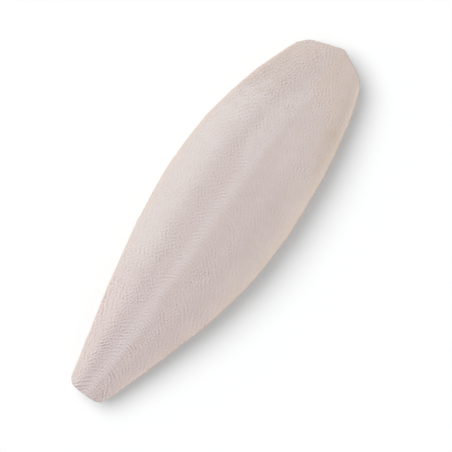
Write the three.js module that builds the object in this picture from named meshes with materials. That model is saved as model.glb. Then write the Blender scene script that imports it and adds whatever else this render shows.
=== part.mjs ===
// A cuttlebone: the chalky inner shell of a cuttlefish, with its tail and front edge trimmed.
// It grew as one piece, so it is one solid. The hard back has a low rib between two shallow troughs and is
// crossed by growth ridges. The softer belly is deeper: growth steps and a shallow furrow lead up to a smooth
// last chamber. It lies on its belly with its back up.
// Millimetres, +Z up, +Y towards the broad front end, origin under the middle at the resting face.

import * as THREE from "three";
import { mergeVertices } from "three/addons/utils/BufferGeometryUtils.js";

// y runs from the trimmed tail. The half width, the back and the belly are each a swelling: full size at one
// station, and down to nothing at its reach towards each end, in a curve set by a power.
const LENGTH = 150;
const HALF_WIDTH = {
  size: 24.35,
  station: 86,
  tail: { reach: 136.2, power: 2.465 },
  front: { reach: 78.6, power: 0.77 },
};
const CROWN = {
  size: 4, // back above the rim
  station: 86,
  tail: { reach: 136, power: 2.6 },
  front: { reach: 79, power: 1.1 },
};
const BELLY = {
  size: 10.8, // belly below the rim
  station: 77,
  tail: { reach: 128, power: 4 },
  front: { reach: 88, power: 2 },
};
const SWAY = 0.5; // the middle line wanders this far to each side
const SWAY_LENGTH = 101;
const SWAY_START = 29;
const TAIL_LEAN = { size: 0.65, length: 7 }; // further to the left at the tail, fading ahead

// Tail, cut straight across, with rounded corners
const TAIL_CUT = { x: -0.95, halfWidth: 5.6, rise: 0.7, power: 5, cornerEnd: 5 };

// Front edge, trimmed into two straight cuts each side of a blunt point
const POINT_X = 1.7;
const LEFT_CUTS = { slope: 0.35, turnX: -10.3, shoulderSlope: 1.15 };
const RIGHT_CUTS = { slope: 0.47, turnX: 11, shoulderSlope: 1.2 };

// Cross-section
const CROWN_ROUNDING = 2.6;
const BELLY_ROUNDING = { inner: 2.4, outer: 0.8 };
const RIM = 1; // thickness of the hard shield where it ends as a rim
const RIM_SAG = { tail: 4, front: 3 }; // the rim droops towards both ends
const FLANGE = { tail: 0.22, front: 0.06 }; // share of the half width that is bare shield, outside the chalk
const RUBBED = 0.65; // depth worn off the belly where it rests

// Relief
const TROUGH_DEPTH = 0.55;
const TROUGH_AT = 0.31; // share of the half width
const TROUGH_WIDTH = 0.13;
const RIDGE_COUNT = 68;
const RIDGE_HEIGHT = 0.3;
const STEP_HEIGHT = 0.25;
const CHAMBER_START = 92; // growth lines ahead of this one bound the smooth last chamber
const CHAMBER_SWELL = 0.2;
const FURROW_DEPTH = 0.7;
const FURROW_WIDTH = 2.6;
const FURROW_FADE = 30; // it grows shallower over this length up to the chamber

// Growth lines: each is a rounded peak on the middle line that drops back towards the tail on both sides
const LINE_SLOPE = 1.2;
const LINE_ROUNDING = 2.5;
const LINE_EDGE_DROP = 9; // extra drop at the widest rim
const LINES_FLATTEN_FROM = 112; // ahead of this the lines turn gradually into the front edge

// Columns of the surface grid, as shares of the way from the middle line to the outline
const COLUMNS = [0, 0.1, 0.22, 0.35, 0.48, 0.61, 0.745, 0.89, 1];

const ease = (value, from, to) => THREE.MathUtils.smoothstep(value, from, to);

// A swelling's size at y
function swell(form, y) {
  const { reach, power } = y > form.station ? form.front : form.tail;
  const share = (y - form.station) / reach;
  return form.size * Math.max(0, 1 - share * share) ** power;
}

function middleX(y) {
  const sway = SWAY * Math.sin((2 * Math.PI * (y - SWAY_START)) / SWAY_LENGTH);
  return sway - TAIL_LEAN.size * Math.exp(-y / TAIL_LEAN.length);
}

const halfWidth = (y) => swell(HALF_WIDTH, y);

// Share of the half width at a point: 0 on the middle line, -1 and 1 at the sides
function shareAcross(x, y) {
  return THREE.MathUtils.clamp((x - middleX(y)) / halfWidth(y), -1, 1);
}

// The tail edge as a rise from the cut: next to nothing in the middle, and up to the corner's end at the sides
function tailRise(x) {
  const share = Math.abs(x - TAIL_CUT.x) / TAIL_CUT.halfWidth;
  return Math.min(TAIL_CUT.cornerEnd, TAIL_CUT.rise * share ** TAIL_CUT.power);
}

// The front edge as a drop back from the point
function frontDrop(x) {
  const cuts = x < POINT_X ? LEFT_CUTS : RIGHT_CUTS;
  const away = Math.abs(x - POINT_X);
  const turn = Math.abs(cuts.turnX - POINT_X);
  return cuts.slope * Math.min(away, turn) + cuts.shoulderSlope * Math.max(0, away - turn);
}

function peakDrop(x) {
  const rounded = Math.hypot(x, LINE_ROUNDING) - LINE_ROUNDING;
  return LINE_SLOPE * rounded + LINE_EDGE_DROP * (x / HALF_WIDTH.size) ** 4;
}

// y of the growth line that crosses the middle at start, at x
function lineY(start, x) {
  const flat = ease(start, LINES_FLATTEN_FROM, LENGTH);
  return start - THREE.MathUtils.lerp(peakDrop(x), frontDrop(x), flat);
}

// Where a growth line runs out of the outline on one side, found by halving
function lineEnd(start, side) {
  let inside = 0;
  let outside = side * 1.1 * HALF_WIDTH.size;
  for (let step = 0; step < 40; step++) {
    const x = (inside + outside) / 2;
    const y = lineY(start, x);
    const within = y >= tailRise(x) && Math.abs(x - middleX(y)) <= halfWidth(y);
    if (within) inside = x;
    else outside = x;
  }
  return inside;
}

function rimZ(y) {
  const { station } = HALF_WIDTH;
  const ahead = y > station;
  const share = (y - station) / (ahead ? LENGTH - station : station);
  return -(ahead ? RIM_SAG.front : RIM_SAG.tail) * share * share;
}

// The back's smooth form, without its ridges
function backZ(x, y) {
  const across = Math.abs(shareAcross(x, y));
  const arch = 1 - across ** CROWN_ROUNDING;
  const trough = Math.exp(-(((across - TROUGH_AT) / TROUGH_WIDTH) ** 2));
  const depth = TROUGH_DEPTH * (halfWidth(y) / HALF_WIDTH.size);
  return rimZ(y) + swell(CROWN, y) * arch - depth * trough;
}

// The belly's smooth form: bare shield at the sides, then the chalk body, with a furrow behind the chamber
function bellyZ(x, y) {
  const flange = THREE.MathUtils.lerp(FLANGE.tail, FLANGE.front, ease(y, 0, HALF_WIDTH.station));
  const across = Math.min(1, Math.abs(shareAcross(x, y)) / (1 - flange));
  const body = (1 - across ** BELLY_ROUNDING.inner) ** BELLY_ROUNDING.outer;
  const depth = FURROW_DEPTH * (1 - ease(y, CHAMBER_START - FURROW_FADE, CHAMBER_START));
  const furrow = depth * Math.exp(-(((x - middleX(y)) / FURROW_WIDTH) ** 2));
  return rimZ(y) - RIM - swell(BELLY, y) * body + furrow * body;
}

// The rubbed spot lies this far above the lowest point that the belly would have
function restingZ() {
  let lowest = 0;
  for (let y = 0; y <= LENGTH; y += 0.5) {
    for (const x of [-4, -2, 0, 2, 4]) lowest = Math.min(lowest, bellyZ(x, y));
  }
  return lowest + RUBBED;
}

// One closed loop of points round the bone, along a growth line: over the back and home under the belly
function growthLoop(start, restZ) {
  const crest = (1 - Math.cos((2 * Math.PI * start * RIDGE_COUNT) / LENGTH)) / 2;
  const inChamber = ease(start, CHAMBER_START - 1, CHAMBER_START + 1);
  const ends = { "-1": lineEnd(start, -1), 1: lineEnd(start, 1) };
  const shares = [...COLUMNS.slice(1).reverse().map((share) => -share), ...COLUMNS];
  const back = [];
  const belly = [];
  for (const share of shares) {
    const x = Math.abs(share) * ends[share < 0 ? -1 : 1];
    const y = lineY(start, x);
    const fade = 1 - Math.abs(share) ** 6;
    back.push(new THREE.Vector3(x, y, backZ(x, y) + RIDGE_HEIGHT * crest * fade));
    const relief = THREE.MathUtils.lerp(STEP_HEIGHT * crest, -CHAMBER_SWELL, inChamber) * fade;
    belly.push(new THREE.Vector3(x, y, Math.max(restZ, bellyZ(x, y) + relief)));
  }
  return { back, belly };
}

// Skins the loops, with a strip of quads down the trimmed front edge
function boneGeometry() {
  const restZ = restingZ();
  const lineCount = 2 * RIDGE_COUNT;
  const loops = [];
  for (let line = 0; line <= lineCount; line++) {
    loops.push(growthLoop((line / lineCount) * LENGTH, restZ));
  }
  const points = loops.flatMap(({ back, belly }) => [...back, ...belly.toReversed()]);
  const around = loops[0].back.length * 2;
  const columns = loops[0].back.length;
  const triangles = [];
  const addQuad = (a, b, c, d) => triangles.push([a, b, c], [a, c, d]);
  for (let line = 0; line < lineCount; line++) {
    for (let k = 0; k < around; k++) {
      const next = (k + 1) % around;
      const [low, high] = [line * around, (line + 1) * around];
      addQuad(low + k, low + next, high + next, high + k);
    }
  }
  const front = lineCount * around;
  for (let k = 0; k < columns - 1; k++) {
    addQuad(front + k, front + k + 1, front + around - 2 - k, front + around - 1 - k);
  }
  const geometry = new THREE.BufferGeometry().setFromPoints(points).setIndex(triangles.flat());
  return withoutSlivers(mergeVertices(geometry, 1e-3));
}

// Drops the triangles that have two corners in one place, as at the tail, where the first loop is one line
function withoutSlivers(geometry) {
  const kept = [];
  const index = geometry.index.array;
  for (let i = 0; i < index.length; i += 3) {
    const [a, b, c] = index.slice(i, i + 3);
    if (a !== b && b !== c && c !== a) kept.push(a, b, c);
  }
  return geometry.setIndex(kept);
}

const geometry = boneGeometry();
geometry.computeBoundingBox();
const middle = geometry.boundingBox.getCenter(new THREE.Vector3());
geometry.translate(-middle.x, -middle.y, -geometry.boundingBox.min.z);
geometry.computeVertexNormals();

const chalk = new THREE.MeshStandardMaterial({ color: 0xd6cac4, roughness: 0.85, metalness: 0 });
const cuttlebone = new THREE.Mesh(geometry, chalk);
cuttlebone.name = "cuttlebone";

const group = new THREE.Group();
group.add(cuttlebone);

export default group;
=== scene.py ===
# A trimmed cuttlebone, lying on its belly on white, seen from straight above under a soft studio light.

import math

import bpy
import numpy as np
from mathutils import Matrix, Vector


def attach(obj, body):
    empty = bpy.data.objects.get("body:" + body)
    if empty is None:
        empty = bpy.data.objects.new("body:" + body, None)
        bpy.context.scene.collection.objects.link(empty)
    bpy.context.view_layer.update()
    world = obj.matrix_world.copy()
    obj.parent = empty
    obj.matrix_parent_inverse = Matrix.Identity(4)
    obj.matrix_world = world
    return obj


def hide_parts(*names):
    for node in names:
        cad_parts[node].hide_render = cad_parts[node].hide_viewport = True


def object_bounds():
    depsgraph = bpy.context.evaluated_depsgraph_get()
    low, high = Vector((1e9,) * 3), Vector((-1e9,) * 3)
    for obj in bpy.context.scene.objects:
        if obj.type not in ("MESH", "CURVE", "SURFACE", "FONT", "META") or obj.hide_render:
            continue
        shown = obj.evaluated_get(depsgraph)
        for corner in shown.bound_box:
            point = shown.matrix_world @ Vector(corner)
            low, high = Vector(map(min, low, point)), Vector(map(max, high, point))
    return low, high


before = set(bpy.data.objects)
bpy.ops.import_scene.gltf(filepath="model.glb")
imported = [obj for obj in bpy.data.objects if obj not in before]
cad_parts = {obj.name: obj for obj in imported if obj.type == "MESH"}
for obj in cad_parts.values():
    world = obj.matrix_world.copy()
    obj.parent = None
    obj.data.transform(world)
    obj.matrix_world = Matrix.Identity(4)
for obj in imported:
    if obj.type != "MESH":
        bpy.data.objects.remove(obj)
cad_box = [list(corner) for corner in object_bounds()]

MM = 0.001


# Camera
# It stands straight above the bone, far off with a long lens, and is turned so that the broad front end
# points to the upper right. The bone's middle lies a little to the left of the picture's middle.

VIEW_WIDTH = 156.7 * MM  # what the picture takes in, at the height of the bone's rim
VIEW_TURN = math.radians(36.05)
VIEW_SHIFT = (4.51 * MM, -1.59 * MM)  # from the bone's middle, to the right and up in the picture
RIM_HEIGHT = 11 * MM
CAMERA_HEIGHT = 1.6

camera_data = bpy.data.cameras.new("camera")
camera_data.lens = camera_data.sensor_width * (CAMERA_HEIGHT - RIM_HEIGHT) / VIEW_WIDTH
camera_data.clip_start = 0.1
camera_data.clip_end = 20
camera = bpy.data.objects.new("camera", camera_data)
bpy.context.scene.collection.objects.link(camera)
turn = Matrix.Rotation(VIEW_TURN, 3, "Z")
camera.location = turn @ Vector((*VIEW_SHIFT, CAMERA_HEIGHT))
camera.rotation_euler = (0, 0, VIEW_TURN)
bpy.context.scene.camera = camera


# Outline of the shield
# The cuttlebone grew as one piece. Its hard shield is a long oval, widest past the middle. The tail is cut
# straight across with worn corners, and the front edge is trimmed into two cuts each side of a blunt point.

LENGTH = 150  # millimetres from here on; y runs from the trimmed tail
HALF_WIDTH = {"size": 24.35, "station": 86, "tail": (136.2, 2.465), "front": (78.6, 0.77)}
SWAY = {"size": 0.5, "length": 101, "start": 29}  # the middle line wanders a little to both sides
TAIL_LEAN = {"size": 0.65, "length": 7}  # and it leans to the left at the tail
TAIL_CUT = {"x": -0.95, "half_width": 5.6, "rise": 0.7, "power": 5, "corner_end": 5}
POINT_X = 1.7
POINT_ROUNDING = 0.5
TURN_ROUNDING = 0.9
LEFT_CUTS = {"slope": 0.35, "turn_x": -9.8, "shoulder_slope": 1.15}
RIGHT_CUTS = {"slope": 0.47, "turn_x": 11, "shoulder_slope": 1.2}
EDGE_RADIUS = 0.45  # rounding of the rim and of the cut edges
SIDE_WEAR = (0.34, 0.07)  # left and right
WAVES = ((23, 0.06, 0.4), (11.3, 0.04, 2.1), (6.1, 0.03, 5.0))  # of the sides: length, height and phase
WAVES_RISE = (6, 20)
WAVES_FADE = (130, 142)


def swell(form, y):
    """A form's size at y: full at its station, and down to nothing at its reach towards each end."""
    reach = np.where(y > form["station"], form["front"][0], form["tail"][0])
    power = np.where(y > form["station"], form["front"][1], form["tail"][1])
    share = (y - form["station"]) / reach
    return form["size"] * np.maximum(0, 1 - share**2) ** power


def ease(value, start, end):
    """Goes smoothly from 0 to 1 as the value goes from start to end."""
    share = np.clip((value - start) / (end - start), 0, 1)
    return share * share * (3 - 2 * share)


def middle_x(y):
    sway = SWAY["size"] * np.sin(2 * np.pi * (y - SWAY["start"]) / SWAY["length"])
    return sway - TAIL_LEAN["size"] * np.exp(-y / TAIL_LEAN["length"])


def half_width(y, side):
    """The sides are a little uneven, and worn in a little more on the left."""
    uneven = 0
    for length, height, phase in WAVES:
        uneven = uneven + height * np.sin(2 * np.pi * y / length + phase + 2 * side)
    uneven = uneven * ease(y, *WAVES_RISE) * (1 - ease(y, *WAVES_FADE))
    worn = np.where(side < 0, SIDE_WEAR[0], SIDE_WEAR[1])
    return swell(HALF_WIDTH, y) - worn + uneven


def share_across(x, y):
    """0 on the middle line, -1 and 1 at the sides."""
    away = x - middle_x(y)
    return np.clip(away / half_width(y, np.sign(away)), -1, 1)


def tail_edge(x):
    share = np.abs(x - TAIL_CUT["x"]) / TAIL_CUT["half_width"]
    return np.minimum(TAIL_CUT["corner_end"], TAIL_CUT["rise"] * share ** TAIL_CUT["power"])


def front_edge(x):
    left = x < POINT_X
    slope = np.where(left, LEFT_CUTS["slope"], RIGHT_CUTS["slope"])
    shoulder_slope = np.where(left, LEFT_CUTS["shoulder_slope"], RIGHT_CUTS["shoulder_slope"])
    turn_away = np.where(left, POINT_X - LEFT_CUTS["turn_x"], RIGHT_CUTS["turn_x"] - POINT_X)
    away = np.hypot(x - POINT_X, POINT_ROUNDING) - POINT_ROUNDING
    past = away - turn_away
    past = (past + np.hypot(past, TURN_ROUNDING)) / 2
    return LENGTH - slope * away - (shoulder_slope - slope) * past


# Hard back
# The shield domes up from its rim. A low rib broadens along its middle towards the front, between two
# shallow troughs, and the rim droops towards both ends.

CROWN = {"size": 4, "station": 86, "tail": (136, 2.6), "front": (79, 1.1)}
CROWN_ROUNDING = 2.6
RIM = 1  # thickness of the hard shield where it ends as a rim
RIM_SAG = {"tail": 4, "front": 3}
TROUGH = {"depth": 0.2, "at": 0.3, "width": 0.14}  # the last two are shares of the half width
TROUGH_FADE = {"start": 105, "end": 130, "share": 0.7}  # they are shallower in front


def rim_z(y):
    station = HALF_WIDTH["station"]
    share = (y - station) / np.where(y > station, LENGTH - station, station)
    return -np.where(y > station, RIM_SAG["front"], RIM_SAG["tail"]) * share**2


def back_z(x, y):
    across = np.abs(share_across(x, y))
    arch = 1 - across**CROWN_ROUNDING
    trough = np.exp(-(((across - TROUGH["at"]) / TROUGH["width"]) ** 2))
    faded = 1 - TROUGH_FADE["share"] * ease(y, TROUGH_FADE["start"], TROUGH_FADE["end"])
    depth = TROUGH["depth"] * swell(HALF_WIDTH, y) / HALF_WIDTH["size"] * faded
    return rim_z(y) + swell(CROWN, y) * arch - depth * trough


# Growth ridges of the back
# Fine ridges cross the back like a fingerprint. They arch over the middle and run down towards the tail on
# both sides. They are clear at the tail, broken and crossed on the left, and grainy in front.

LINE = {"slope": 1.25, "rounding": 4.5, "edge_drop": 9}  # how a growth line drops back on both sides
RIDGE_GRID = 0.2
RIDGE_SPACINGS = (1.15, 1.35)  # in the middle and on the flanks
RIDGE_BAND = 0.35  # how much their spacing varies, as a share of it
RIDGE_SPREAD = 0.33  # how much their direction varies, in radians
GRAIN_SPACING = 1.0
GRAIN_BAND = 0.4
BEADING = 0.08  # the crests stand out a little more than the valleys
PATCH_SIZE = 6
PATCH_STRENGTH = 0.28  # the ridges are stronger or weaker by this share in irregular patches
RIDGE_TURNS = 12  # the directions that the ridges are mixed from
RIDGE_HEIGHT = 0.14
RIDGE_LIMIT = 2.2  # in ridge heights
RIDGE_SEED = 7
RIDGE_MIDDLE = 1.5  # the arches peak this far to the right of the middle line
RIM_TURN = math.radians(68)  # how far the ridges have turned down at the rim
FRONT_SLANT = math.radians(50)  # in front the grain runs slantwise, right across the middle line
ROUGH_PATCHES = ((-11, 123, 9, 0.2), (7, 129, 5, 0.45), (15, 108, 4, 0.6))  # x, y, radius and strength


def peak_drop(x):
    """How far a growth line has dropped back at x, and its slope there."""
    reach = np.hypot(x, LINE["rounding"])
    drop = LINE["slope"] * (reach - LINE["rounding"]) + LINE["edge_drop"] * (x / HALF_WIDTH["size"]) ** 4
    slope = LINE["slope"] * x / reach + 4 * LINE["edge_drop"] * x**3 / HALF_WIDTH["size"] ** 4
    return drop, slope


def ridge_angle(x, y):
    """How far the ridges at a point are turned: down on the right of the middle, and up on its left."""
    aside = x - middle_x(y) - RIDGE_MIDDLE * (1 - ease(y, 80, 105))
    down = np.arctan(np.abs(peak_drop(aside)[1]))
    rim_share = ease(np.abs(share_across(x, y)), 0.45, 0.9)
    return np.sign(aside) * (down + (RIM_TURN - down) * rim_share)


def ridge_field():
    """Ridges on a flat grid, about -2 to 2: noise filtered along the growth lines, and some plain grain."""
    xs = np.arange(-27, 27, RIDGE_GRID)
    ys = np.arange(-3, LENGTH + 3, RIDGE_GRID)
    x, y = np.meshgrid(xs, ys)
    share = share_across(x, y)
    angle_here = ridge_angle(x, y)
    # where the growth lines are crossed by others, where they give way to slanted ones, and where to grain
    left_trough = ease(-share, 0.05, 0.22) * (1 - ease(-share, 0.55, 0.75))
    left_rim = ease(-share, 0.5, 0.8) * (1 - ease(y, 85, 110))
    crossed = 0.5 * left_trough * ease(y, 15, 40) + 0.9 * left_rim
    crossed += 0.3 * ease(y, 95, 115) * (1 - left_trough)
    slanted = 0.65 * ease(y, 92, 112) * (1 - ease(np.abs(share), 0.3, 0.6))
    grainy = 0.36 + 0.12 * ease(y, 8, 25) + 0.05 * ease(y, 95, 120) - 0.05 * left_trough
    grainy += 0.08 * ease(np.abs(share), 0.5, 0.8)
    tail_left = 0.14 * ease(y, 30, 0) * ease(-share, -0.1, 0.1)
    front_left = 0.2 * ease(y, 88, 112) * ease(-share, 0.25, 0.5)
    grainy += tail_left + front_left
    wide = ease(np.abs(share), 0.45, 0.75)
    frequency_x = np.fft.rfftfreq(len(xs), RIDGE_GRID)[None, :]
    frequency_y = np.fft.fftfreq(len(ys), RIDGE_GRID)[:, None]
    radius = np.hypot(frequency_x, frequency_y)
    angle = np.arctan2(frequency_x, frequency_y)
    random = np.random.default_rng(RIDGE_SEED)

    def filtered(spectrum, mask):
        values = np.fft.irfft2(spectrum * mask, x.shape)
        return values / np.std(values)

    def ring(spacing, width):
        return np.exp(-(((radius * spacing - 1) / width) ** 2))

    def closeness(direction, turned):
        off = (direction - turned + np.pi / 2) % np.pi - np.pi / 2
        return np.maximum(0, 1 - np.abs(off) * RIDGE_TURNS / np.pi)

    noise = np.fft.rfft2(random.standard_normal(x.shape))
    lines = np.zeros_like(x)
    for turned in np.pi * np.arange(RIDGE_TURNS) / RIDGE_TURNS:
        off = (angle - turned + np.pi / 2) % np.pi - np.pi / 2
        lobe = np.exp(-((off / RIDGE_SPREAD) ** 2))
        share_here = (1 - crossed) * closeness(angle_here, turned)
        share_here += crossed * closeness(-angle_here, turned)
        share_here += slanted * (closeness(FRONT_SLANT, turned) - share_here)
        for spacing, weight in zip(RIDGE_SPACINGS, (1 - wide, wide)):
            lines += weight * share_here * filtered(noise, ring(spacing, RIDGE_BAND) * lobe)
    grain = filtered(np.fft.rfft2(random.standard_normal(x.shape)), ring(GRAIN_SPACING, GRAIN_BAND))
    field = (1 - grainy) * lines + grainy * grain
    field += BEADING * (field**2 - 1)
    patches = filtered(np.fft.rfft2(random.standard_normal(x.shape)), np.exp(-((radius * PATCH_SIZE) ** 2)))
    field = field * (1 + PATCH_STRENGTH * np.tanh(patches))
    return xs, ys, np.clip(field, -RIDGE_LIMIT, RIDGE_LIMIT)


def ridge_strength(x, y):
    """How clear the ridges are: most at the tail, then in the troughs and some rough patches in front."""
    share = share_across(x, y)
    # along the bone they are calmest in its middle
    along = 1 - 0.4 * ease(y, 10, 75) + 0.25 * ease(y, 104, 124) - 0.15 * ease(y, 136, 148)
    along = along + 0.18 * ease(y, 12, 6)
    # across it they are clearest in the troughs
    trough = np.exp(-(((np.abs(share) - 0.36) / 0.22) ** 2))
    near_tail = 0.35 * ease(-share, 0.05, 0.25) * ease(y, 8, 14) * (1 - ease(y, 35, 60))
    trough = 0.85 + trough * (ease(y, 30, 60) * (0.65 - 0.3 * ease(y, 96, 112)) + near_tail)
    # the right side is calmer, and its flank is fainter
    calm = 0.33 * ease(y, 35, 75) + 0.2 * ease(y, 75, 95) * (1 - ease(y, 116, 126))
    calm = calm * (1 - 0.5 * ease(share, 0.5, 0.7) * ease(y, 80, 95) * (1 - ease(y, 128, 138)))
    calm += 0.25 * ease(y, 15, 8) * (1 - ease(share, 0.25, 0.4))
    faint = 0.3 + 0.2 * ease(y, 4, 12) - 0.2 * ease(y, 15, 35)
    right = calm * ease(share, -0.05, 0.15) + faint * ease(share, 0.5, 0.75)
    # the left flank is worn, except between the tail and the middle
    worn = 0.2 * ease(y, 38, 58) * (1 - ease(y, 95, 112)) + 0.3 * (1 - ease(y, 10, 18))
    worn -= 0.5 * np.exp(-(((y - 31) / 11) ** 2))
    left = worn * ease(-share, 0.55, 0.8)
    strength = along * trough * (1 - right - left)
    for patch_x, patch_y, radius, extra in ROUGH_PATCHES:
        strength = strength + extra * np.exp(-(((x - patch_x) ** 2 + (y - patch_y) ** 2) / radius**2))
    return strength


def sample(grid, x, y):
    """The grid's value at each point, mixed from the four cells round it."""
    xs, ys, field = grid
    column = np.clip((x - xs[0]) / RIDGE_GRID, 0, len(xs) - 1.001)
    row = np.clip((y - ys[0]) / RIDGE_GRID, 0, len(ys) - 1.001)
    i, j = row.astype(int), column.astype(int)
    v, u = row - i, column - j
    low = field[i, j] * (1 - u) + field[i, j + 1] * u
    high = field[i + 1, j] * (1 - u) + field[i + 1, j + 1] * u
    return low * (1 - v) + high * v


# Belly
# Under the shield sits the softer chalk body that the animal built chamber by chamber. Each chamber ends in
# a fine step, a shallow furrow runs up the middle, and the last chamber, in front, is smooth.

BELLY = {"size": 10.8, "station": 77, "tail": (128, 4), "front": (88, 2)}
BELLY_ROUNDING = (2.4, 0.8)
FLANGE = {"tail": 0.22, "front": 0.06}  # share of the half width that is bare shield
RUBBED = 0.65  # depth worn off where it rests
LAYER_SPACING = 0.42  # of the chambers' floors, which show as layers in the cut ends
STEP_SPACING = 2.2
STEP_HEIGHT = 0.22
STEP_BEND = 0.6  # they drop back less towards the sides than the ridges of the back
STEP_WAVE = {"height": 0.35, "length": 7.5, "drift": 0.07}  # they are a little wavy
REST_WEAR = 0.15  # how soft the edge of the rubbed spot is
CHAMBER = {"start": 92, "swell": 0.2}  # growth lines ahead of this one bound the last chamber
FURROW = {"depth": 0.7, "width": 2.6, "fade": 30}  # it grows shallower up to the chamber


def belly_z(x, y):
    """Height of the belly's smooth form, and how full the chalk body is there, 0 to 1."""
    share = ease(y, 0, HALF_WIDTH["station"])
    flange = FLANGE["tail"] + (FLANGE["front"] - FLANGE["tail"]) * share
    across = np.minimum(1, np.abs(share_across(x, y)) / (1 - flange))
    body = (1 - across ** BELLY_ROUNDING[0]) ** BELLY_ROUNDING[1]
    depth = FURROW["depth"] * (1 - ease(y, CHAMBER["start"] - FURROW["fade"], CHAMBER["start"]))
    furrow = depth * np.exp(-(((x - middle_x(y)) / FURROW["width"]) ** 2))
    return rim_z(y) - RIM - swell(BELLY, y) * body + furrow * body, body


def growth_start(x, y):
    """Where the growth line through a point of the belly crosses the middle."""
    wave = STEP_WAVE["height"] * np.sin(2 * np.pi * x / STEP_WAVE["length"] + STEP_WAVE["drift"] * y)
    return y + STEP_BEND * peak_drop(x)[0] + wave


# Skin
# One closed skin: a fine grid over the back, a coarser one under the belly, and a rounded edge between them
# that is thin along the rim and tall at the two trimmed ends.

ROWS = 470
COLUMNS = 152
EDGE_STEPS = (45, 90)  # degrees round the edge's rounding, from the back and from the belly
TAIL_CROWDING = 0.25  # the rows lie closer together at the tail, where the ridges are clearest
BELLY_ARCH = 0.12  # the belly's rows arch forward in the middle, as its steps do


def outline_grid(rows, columns, arch=0.0):
    """Points that fill the outline up to the rounding of its edge, in rows from the tail to the front."""
    share = np.linspace(-1, 1, columns + 1)[None, :]
    along = np.linspace(0, 1, rows + 1)[:, None]
    along = along + (4 * arch * (1 - share**2) - TAIL_CROWDING) * along * (1 - along)
    side = np.sign(share)

    def column_x(y):
        return middle_x(y) + share * (half_width(y, side) - EDGE_RADIUS)

    def inset(edge, x):
        slope = (edge(x + 0.1) - edge(x - 0.1)) / 0.2
        return EDGE_RADIUS * np.hypot(1, slope)

    def meet(edge, y):
        """Where each column meets an edge, found by steps of half the way."""
        for _ in range(60):
            y = y + 0.5 * (edge(column_x(y)) - y)
        return y

    low = meet(lambda x: tail_edge(x) + np.minimum(1, inset(tail_edge, x)), np.zeros_like(share))
    high = meet(lambda x: front_edge(x) - inset(front_edge, x), np.full_like(share, LENGTH - 8.0))
    y = low + along * (high - low)
    return column_x(y), y


def border(rows, columns):
    """Indices of a grid's border points, once round against the clock from the tail's left corner."""
    index = np.arange((rows + 1) * (columns + 1)).reshape(rows + 1, columns + 1)
    return np.concatenate([index[0, :-1], index[:-1, -1], index[-1, :0:-1], index[:0:-1, 0]])


def grid_quads(first, rows, columns):
    """Faces of a grid, against the clock from above, where first is the index of its first point."""
    index = first + np.arange((rows + 1) * (columns + 1)).reshape(rows + 1, columns + 1)
    corners = [index[:-1, :-1], index[:-1, 1:], index[1:, 1:], index[1:, :-1]]
    return np.stack(corners, axis=-1).reshape(-1, 4)


grid = ridge_field()
xs, ys = outline_grid(ROWS, COLUMNS)
across = share_across(xs, ys)
ridge = ridge_strength(xs, ys) * sample(grid, xs, ys)
back_points = np.stack([xs, ys, back_z(xs, ys) + RIDGE_HEIGHT * ridge], axis=-1).reshape(-1, 3)

belly_rows, belly_columns = ROWS // 2, COLUMNS // 2
bx, by = outline_grid(belly_rows, belly_columns, BELLY_ARCH)
smooth, body = belly_z(bx, by)
start = growth_start(bx, by)
in_chamber = ease(start, CHAMBER["start"] - 1, CHAMBER["start"] + 1)
steps = (1 - np.cos(2 * np.pi * start / STEP_SPACING)) / 2
relief = (STEP_HEIGHT * steps * (1 - in_chamber) - CHAMBER["swell"] * in_chamber) * body
stations = np.linspace(0, LENGTH, 300)
rest_z = belly_z(np.zeros_like(stations), stations)[0].min() + RUBBED
above = smooth + relief - rest_z
belly = rest_z + (above + np.hypot(above, REST_WEAR)) / 2
belly_points = np.stack([bx, by, belly], axis=-1).reshape(-1, 3)

ring = border(ROWS, COLUMNS)
belly_ring = border(belly_rows, belly_columns)
edge = back_points[ring]
tangent = np.roll(edge, -1, axis=0) - np.roll(edge, 1, axis=0)
outward = np.stack([tangent[:, 1], -tangent[:, 0]], axis=-1)
outward /= np.linalg.norm(outward, axis=1)[:, None]
edge_bottom = np.repeat(belly_points[belly_ring, 2], 2)
edge_bottom = (edge_bottom + np.roll(edge_bottom, 1)) / 2


def edge_loop(degrees, start_z, way):
    """A loop of the rounded edge, turned down from the back (way -1) or up from the belly (way 1)."""
    reach = EDGE_RADIUS * math.sin(math.radians(degrees))
    drop = EDGE_RADIUS * (1 - math.cos(math.radians(degrees)))
    return np.column_stack([edge[:, :2] + reach * outward, start_z + way * drop])


loops = [edge_loop(degrees, edge[:, 2], -1) for degrees in EDGE_STEPS]
loops += [edge_loop(degrees, edge_bottom, 1) for degrees in reversed(EDGE_STEPS)]
points = np.concatenate([back_points, belly_points, *loops])

faces = grid_quads(0, ROWS, COLUMNS).tolist()
faces.extend(grid_quads(len(back_points), belly_rows, belly_columns)[:, [0, 3, 2, 1]].tolist())
first = len(back_points) + len(belly_points)
rings = [ring] + [first + number * len(ring) + np.arange(len(ring)) for number in range(len(loops))]
for upper, lower in zip(rings[:-1], rings[1:]):
    strip = np.stack([upper, lower, np.roll(lower, -1), np.roll(upper, -1)], axis=-1)
    faces.extend(strip.tolist())
upper = rings[-1]
lower = len(back_points) + belly_ring
following = np.roll(lower, -1)
strip = np.stack([upper[0::2], lower, following, np.roll(upper, -2)[0::2], upper[1::2]], axis=-1)
faces.extend(strip.tolist())

middle = (points.min(axis=0) + points.max(axis=0)) / 2
points -= (middle[0], 0, points[:, 2].min())
points *= MM
points[:, 1] += cad_box[0][1]

mesh = bpy.data.meshes.new("cuttlebone_body")
mesh.from_pydata(points.tolist(), [], faces)
mesh.validate()
mesh.shade_smooth()
bone = bpy.data.objects.new("cuttlebone_body", mesh)
bpy.context.scene.collection.objects.link(bone)

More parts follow.
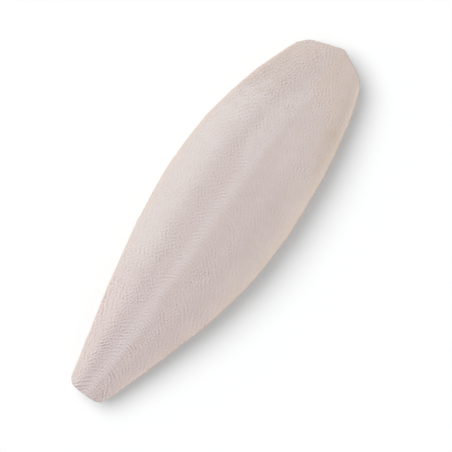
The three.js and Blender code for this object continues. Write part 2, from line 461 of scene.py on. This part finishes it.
# what the chalk's nodes read: the share across, the way along in millimetres, the ridges, the growth lines
# and the chalk body of the belly, the way from the back (0) round to the belly (1), the two trimmed ends,
# and the layers counted down them
ends = np.zeros(len(ring))
ends[:COLUMNS] = 1
ends[COLUMNS + ROWS : 2 * COLUMNS + ROWS] = 1
under = [np.full(len(ring), step) for step in (0.2, 0.4, 0.6, 0.8)]
height = edge[:, 2] - edge_bottom
at_tail, at_front = height[:COLUMNS].max(), height[COLUMNS + ROWS : -ROWS].max()
count = np.where(edge[:, 1] < LENGTH / 2, at_tail, at_front) / LAYER_SPACING
layers = [count * (edge[:, 2] - loop[:, 2]) / height for loop in loops]
edge_growth = growth_start(edge[:, 0], edge[:, 1])
readings = {
    "across": [across.ravel(), share_across(bx, by).ravel()] + [across.ravel()[ring]] * len(loops),
    "along": [ys.ravel(), by.ravel()] + [ys.ravel()[ring]] * len(loops),
    "ridge": [ridge.ravel(), np.zeros(bx.size)] + [ridge.ravel()[ring] * fade for fade in (0.6, 0.2, 0, 0)],
    "growth": [np.zeros(xs.size), start.ravel()] + [edge_growth] * len(loops),
    "body": [np.zeros(xs.size), body.ravel()] + [np.zeros(len(ring))] * len(loops),
    "under": [np.zeros(xs.size), np.ones(bx.size)] + under,
    "trimmed": [np.zeros(xs.size), np.zeros(bx.size)] + [ends] * len(loops),
    "layer": [np.zeros(xs.size), np.zeros(bx.size)] + layers,
}
for name, parts in readings.items():
    attribute = mesh.attributes.new(name, "FLOAT", "POINT")
    attribute.data.foreach_set("value", np.concatenate(parts).astype(np.float32))


# Chalk
# Matt lime, white on the belly. The back is greyish mauve along its middle and cream on the flanks, with a
# thin horny tan rim, biscuit towards the front, and it is darker between the ridges, partly in its own
# colour and partly in painted shade. Painted shade and painted light also sit in the left trough, on the
# rib, along the tail's right rim and in front.

MAUVE = (0.566, 0.485, 0.468)  # between the rib and the flanks
MAUVE_RIGHT = (0.56, 0.478, 0.452)
# the rib: its own paler chalk, and a painted highlight on its left side, which faces the light
RIB_CHALK_AND_HIGHLIGHT = (0.6, 0.526, 0.507)  # the rib
CREAM = (0.635, 0.565, 0.54)  # the flanks
CREAM_RIGHT = (0.642, 0.55, 0.503)
PEACH = (0.62, 0.525, 0.478)  # the flanks near the tail
FAWN = (0.56, 0.479, 0.442)  # the front, on the left
BISCUIT = (0.575, 0.482, 0.43)  # and on the right
PALE_CORNER = (0.6, 0.512, 0.466)  # the worn corners of the front edge
TAN = (0.69, 0.575, 0.5)  # the rim, and the bare shield round the belly
PALE_RIM = (0.74, 0.62, 0.53)  # along the right side
FLECK = (0.73, 0.585, 0.5)  # scattered along the rim near the tail
BELLY_WHITE = (0.78, 0.74, 0.69)
LAYER_GREY = (0.62, 0.58, 0.53)  # the joints between the layers, in the cut ends and on the belly
LAYER_DEPTH = 0.4  # how clear the joints are in the cut ends
SHIELD_CUT = (0.6, 0.515, 0.465)  # the hard shield, where it is cut
SHIELD_LAYERS = (1.2, 1.9)  # it turns into chalk between these layers
STRIA_SPACING = 0.73  # the fine lines of the belly
STAIN = (0.56, 0.44, 0.35)
STAINS = ((15.5, 123.8, 1.6, 0.35), (17, 121.5, 2.4, 0.2), (0, 105.6, 0.7, 0.25))  # x, y, radius, depth
# tones: how much lighter a place is than the ground, in red, green and blue
# crests lighter and valleys darker: partly the chalk's own colour, partly painted shade in the valleys
RIDGE_TONE_AND_SHADE = (0.102, 0.111, 0.118)  # the crests
GRAIN_TONE = (0.05, 0.05, 0.05)
MOTTLE_TONE = (0.01, 0.03, 0.05)
WANDER_TONE = (0.1, 0.12, 0.14)  # broad blotches
# painted shade: the left trough is darker near the tail
TROUGH_SHADE_TONE = (-0.03, -0.03, -0.025)  # the left trough is darker near the tail
TAIL_TONE = (0.0, -0.01, 0.01)  # the tail is a little pinker
# painted light: the tail is paler along its right rim, standing in for light bounced up from the table
TAIL_RIM_LIGHT_TONE = (0.075, 0.075, 0.075)  # and it is paler along its right rim
# painted light: the front is paler right of the rib
FRONT_LIGHT_TONE = (0.04, 0.044, 0.042)  # the front is paler right of the rib

chalk = bpy.data.materials.new("chalk")
chalk.use_nodes = True
tree = chalk.node_tree
shader = tree.nodes["Principled BSDF"]
shader.inputs["Specular IOR Level"].default_value = 0.25


def plug(socket, value):
    """Sets a socket to a number or a colour, or links it to another node."""
    if isinstance(value, bpy.types.NodeSocket):
        tree.links.new(value, socket)
    elif isinstance(value, tuple):
        socket.default_value = (*value, 1)
    else:
        socket.default_value = value


def reading(name):
    node = tree.nodes.new("ShaderNodeAttribute")
    node.attribute_name = name
    return node.outputs["Fac"]


def calculate(operation, first, second=0.0):
    node = tree.nodes.new("ShaderNodeMath")
    node.operation = operation
    plug(node.inputs[0], first)
    plug(node.inputs[1], second)
    return node.outputs[0]


def rise(value, start, end, low=0.0, high=1.0):
    """Goes smoothly from low to high as the value goes from start to end."""
    node = tree.nodes.new("ShaderNodeMapRange")
    node.interpolation_type = "SMOOTHSTEP"
    plug(node.inputs["Value"], value)
    for name, number in (("From Min", start), ("From Max", end), ("To Min", low), ("To Max", high)):
        node.inputs[name].default_value = number
    return node.outputs["Result"]


def blend(share, low, high):
    node = tree.nodes.new("ShaderNodeMix")
    node.data_type = "RGBA"
    plug(node.inputs[0], share)
    plug(node.inputs[6], low)
    plug(node.inputs[7], high)
    return node.outputs[2]


def noise(size_mm, detail=2.0, roughness=0.5):
    """Noise with blotches of about the given size, 0 to 1."""
    node = tree.nodes.new("ShaderNodeTexNoise")
    node.inputs["Scale"].default_value = 1 / (size_mm * MM)
    node.inputs["Detail"].default_value = detail
    node.inputs["Roughness"].default_value = roughness
    tree.links.new(place, node.inputs["Vector"])
    return node.outputs["Fac"]


place = tree.nodes.new("ShaderNodeTexCoord").outputs["Object"]
signed = reading("across")
along = reading("along")
ridges = reading("ridge")
from_back = reading("under")
blotches = noise(9, 3)
wander = calculate("MULTIPLY", calculate("SUBTRACT", blotches, 0.5), 0.22)

# the rib with its painted highlight, the flanks and the colours of both ends
sideways = calculate("ADD", calculate("ABSOLUTE", signed), wander)
on_right = rise(signed, -0.1, 0.1)
flank = rise(calculate("SUBTRACT", sideways, calculate("MULTIPLY", on_right, 0.25)), 0.26, 0.74)
flank_colour = blend(on_right, CREAM, CREAM_RIGHT)
near_tail = rise(calculate("ADD", along, calculate("MULTIPLY", wander, 60)), 22, 62, 0.8, 0.0)
near_tail = calculate("MULTIPLY", near_tail, rise(signed, -0.1, 0.1, 0.45, 1.0))
flank_colour = blend(near_tail, flank_colour, PEACH)
wider = calculate("MULTIPLY", rise(along, 92, 106, 0.0, 0.17), rise(along, 120, 132, 1.0, 0.0))
rib_left = rise(calculate("ADD", signed, wider), -0.2, -0.06)
wider_ends = calculate("ADD", rise(along, 30, 45, 0.14, 0.0), rise(along, 115, 130, 0.0, 0.1))
rib_right = rise(calculate("SUBTRACT", signed, wider_ends), -0.04, 0.12, 1.0, 0.0)
rib = calculate("MULTIPLY", rib_left, rib_right)
colour = blend(rib, blend(on_right, MAUVE, MAUVE_RIGHT), RIB_CHALK_AND_HIGHLIGHT)
colour = blend(flank, colour, flank_colour)
uneven = calculate("MULTIPLY", calculate("SUBTRACT", noise(4.5, 2), 0.5), 30)
earlier = calculate("ADD", calculate("MULTIPLY", flank, 14.0), rise(signed, 0.3, 0.7, 0.0, 12.0))
shifted_along = calculate("ADD", calculate("ADD", along, uneven), earlier)
in_front = rise(calculate("ADD", shifted_along, calculate("MULTIPLY", wander, 40)), 122, 143)
colour = blend(calculate("MULTIPLY", in_front, 0.9), colour, blend(on_right, FAWN, BISCUIT))
corners = calculate("ADD", rise(signed, -0.4, -0.1, 0.65, 0.0), rise(signed, 0.3, 0.5, 0.0, 0.65))
colour = blend(calculate("MULTIPLY", corners, rise(along, 134, 146)), colour, PALE_CORNER)

# the horny rim, its flecks and the stains
rim = rise(calculate("ADD", calculate("ABSOLUTE", signed), calculate("MULTIPLY", wander, 0.2)), 0.9, 0.985)
colour = blend(calculate("MULTIPLY", rim, rise(signed, -0.1, 0.1, 0.5, 0.7)), colour, TAN)
near_rim = rise(calculate("ABSOLUTE", signed), 0.68, 0.9)
flecks = calculate("MULTIPLY", rise(noise(1.4, 2), 0.54, 0.68), near_rim)
colour = blend(calculate("MULTIPLY", flecks, rise(along, 40, 80, 0.55, 0.0)), colour, FLECK)
pale = calculate("MULTIPLY", rise(signed, 0.8, 0.95), rise(along, 55, 90, 0.08, 0.4))
colour = blend(pale, colour, PALE_RIM)
flat_place = tree.nodes.new("ShaderNodeVectorMath")
flat_place.operation = "MULTIPLY"
tree.links.new(place, flat_place.inputs[0])
flat_place.inputs[1].default_value = (1, 1, 0)
for x, y, radius, depth in STAINS:
    gone = tree.nodes.new("ShaderNodeVectorMath")
    gone.operation = "DISTANCE"
    tree.links.new(flat_place.outputs[0], gone.inputs[0])
    gone.inputs[1].default_value = ((x - middle[0]) * MM, y * MM + cad_box[0][1], 0)
    away = calculate("ADD", gone.outputs["Value"], calculate("MULTIPLY", wander, 0.002))
    colour = blend(rise(away, 0.3 * radius * MM, 2 * radius * MM, depth, 0.0), colour, STAIN)


def tint(base, amount, strengths):
    """The base, plus the amount times a strength for each of red, green and blue."""
    node = tree.nodes.new("ShaderNodeVectorMath")
    node.operation = "MULTIPLY_ADD"
    tree.links.new(amount, node.inputs[0])
    node.inputs[1].default_value = strengths
    if isinstance(base, tuple):
        node.inputs[2].default_value = base
    else:
        tree.links.new(base, node.inputs[2])
    return node.outputs[0]


# the tones of the ridges, with painted shade in their valleys, of the grain, and of some places: painted
# shade in the left trough, painted light on the tail's right rim and in front
fine = noise(0.7, 3, 0.7)
mottle = calculate("MULTIPLY", calculate("SUBTRACT", noise(2.4, 2, 0.6), 0.5), 4.0)
tone = tint((1, 1, 1), ridges, RIDGE_TONE_AND_SHADE)
tone = tint(tone, calculate("MULTIPLY", calculate("SUBTRACT", fine, 0.5), 2.0), GRAIN_TONE)
tone = tint(tone, mottle, MOTTLE_TONE)
tone = tint(tone, wander, WANDER_TONE)
# painted shade in the left trough, fading out away from the tail
painted_trough_shade = calculate("MULTIPLY", rise(signed, -0.6, -0.3), rise(signed, -0.15, 0.05, 1.0, 0.0))
painted_trough_shade = calculate("MULTIPLY", painted_trough_shade, rise(along, 12, 22, 1.0, 0.0))
tone = tint(tone, painted_trough_shade, TROUGH_SHADE_TONE)
tone = tint(tone, rise(along, 30, 60, 1.0, 0.0), TAIL_TONE)
# painted light along the right rim near the tail
painted_tail_rim_light = calculate("MULTIPLY", rise(signed, 0.83, 0.97), rise(along, 18, 32, 1.0, 0.0))
tone = tint(tone, painted_tail_rim_light, TAIL_RIM_LIGHT_TONE)
# painted light right of the rib, in front
painted_front_light = calculate("MULTIPLY", rise(signed, 0.08, 0.2), rise(signed, 0.6, 0.85, 1.0, 0.0))
painted_front_light = calculate("MULTIPLY", painted_front_light, rise(along, 94, 108))
painted_front_light = calculate("MULTIPLY", painted_front_light, rise(along, 133, 141, 1.0, 0.0))
tone = tint(tone, painted_front_light, FRONT_LIGHT_TONE)
shade = tree.nodes.new("ShaderNodeVectorMath")
shade.operation = "MULTIPLY"
tree.links.new(colour, shade.inputs[0])
tree.links.new(tone, shade.inputs[1])

# the cut ends and the belly
shifted = calculate("MULTIPLY", calculate("SUBTRACT", blotches, 0.5), 1.5)
layer = calculate("ADD", reading("layer"), shifted)
joints = rise(calculate("SINE", calculate("MULTIPLY", layer, 2 * math.pi)), 0.1, 1.0, 0.0, LAYER_DEPTH)
cut_colour = blend(joints, BELLY_WHITE, LAYER_GREY)
cut_colour = blend(rise(reading("layer"), *SHIELD_LAYERS), SHIELD_CUT, cut_colour)
growth = calculate("ADD", reading("growth"), calculate("MULTIPLY", noise(3.2, 3), 1.6))
striae = calculate("SINE", calculate("MULTIPLY", growth, 2 * math.pi / STRIA_SPACING))
striated = rise(growth, CHAMBER["start"] - 1, CHAMBER["start"] + 1, 1.0, 0.0)
striated = calculate("MULTIPLY", striated, rise(reading("body"), 0.05, 0.3))
striated = calculate("MULTIPLY", striated, rise(blotches, 0.35, 0.6, 0.45, 1.0))
belly_colour = blend(rise(fine, 0.3, 0.7, 0.0, 0.12), BELLY_WHITE, CREAM)
lines = calculate("MULTIPLY", rise(striae, 0.0, 1.0, 0.0, 0.35), striated)
belly_colour = blend(lines, belly_colour, LAYER_GREY)
belly_colour = blend(rise(reading("body"), 0.0, 0.25, 0.4, 0.0), belly_colour, TAN)
final = blend(rise(from_back, 0.25, 0.95), shade.outputs[0], belly_colour)
final = blend(rise(reading("trimmed"), 0.45, 0.95), final, cut_colour)
tree.links.new(final, shader.inputs["Base Color"])
tree.links.new(rise(fine, 0.2, 0.8, 0.78, 0.92), shader.inputs["Roughness"])

bump = tree.nodes.new("ShaderNodeBump")
bump.inputs["Strength"].default_value = 0.6
bump.inputs["Distance"].default_value = 0.05 * MM
on_belly = calculate("MULTIPLY", striated, rise(from_back, 0.9, 1.0))
grooves = calculate("MULTIPLY", calculate("MULTIPLY", striae, on_belly), -1.0)
tree.links.new(calculate("ADD", noise(0.35, 3, 0.6), grooves), bump.inputs["Height"])
tree.links.new(bump.outputs["Normal"], shader.inputs["Normal"])
mesh.materials.append(chalk)

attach(bone, "root")
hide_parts("cuttlebone")


# Studio
# A white table under an even white sky, with one large soft light from the upper left of the picture.

KEY_AZIMUTH = math.radians(145)  # in the picture, from its right
KEY_HEIGHT = math.radians(56)
KEY_SIZE = math.radians(50)
KEY_STRENGTH = 1.94
SKY_STRENGTH = 0.597
SKY_COLOUR = (0.988, 1, 1.014)
TABLE_WHITE = (0.91, 0.91, 0.91)

bpy.ops.mesh.primitive_plane_add(size=8, location=(0, 0, 0))
table = bpy.context.object
table.name = "table"
white = bpy.data.materials.new("white_table")
white.use_nodes = True
table_shader = white.node_tree.nodes["Principled BSDF"]
table_shader.inputs["Base Color"].default_value = (*TABLE_WHITE, 1)
table_shader.inputs["Roughness"].default_value = 0.9
table_shader.inputs["Specular IOR Level"].default_value = 0.1
table.data.materials.append(white)

key_data = bpy.data.lights.new("key", "SUN")
key_data.energy = KEY_STRENGTH
key_data.angle = KEY_SIZE
key = bpy.data.objects.new("key", key_data)
bpy.context.scene.collection.objects.link(key)
level = math.cos(KEY_HEIGHT)
towards = Vector((math.cos(KEY_AZIMUTH) * level, math.sin(KEY_AZIMUTH) * level, math.sin(KEY_HEIGHT)))
towards = Matrix.Rotation(VIEW_TURN, 3, "Z") @ towards
key.rotation_euler = towards.to_track_quat("Z", "Y").to_euler()

world = bpy.data.worlds.new("sky")
world.use_nodes = True
background = world.node_tree.nodes["Background"]
background.inputs["Color"].default_value = (*SKY_COLOUR, 1)
background.inputs["Strength"].default_value = SKY_STRENGTH
bpy.context.scene.world = world
bpy.context.scene.view_settings.view_transform = "Standard"
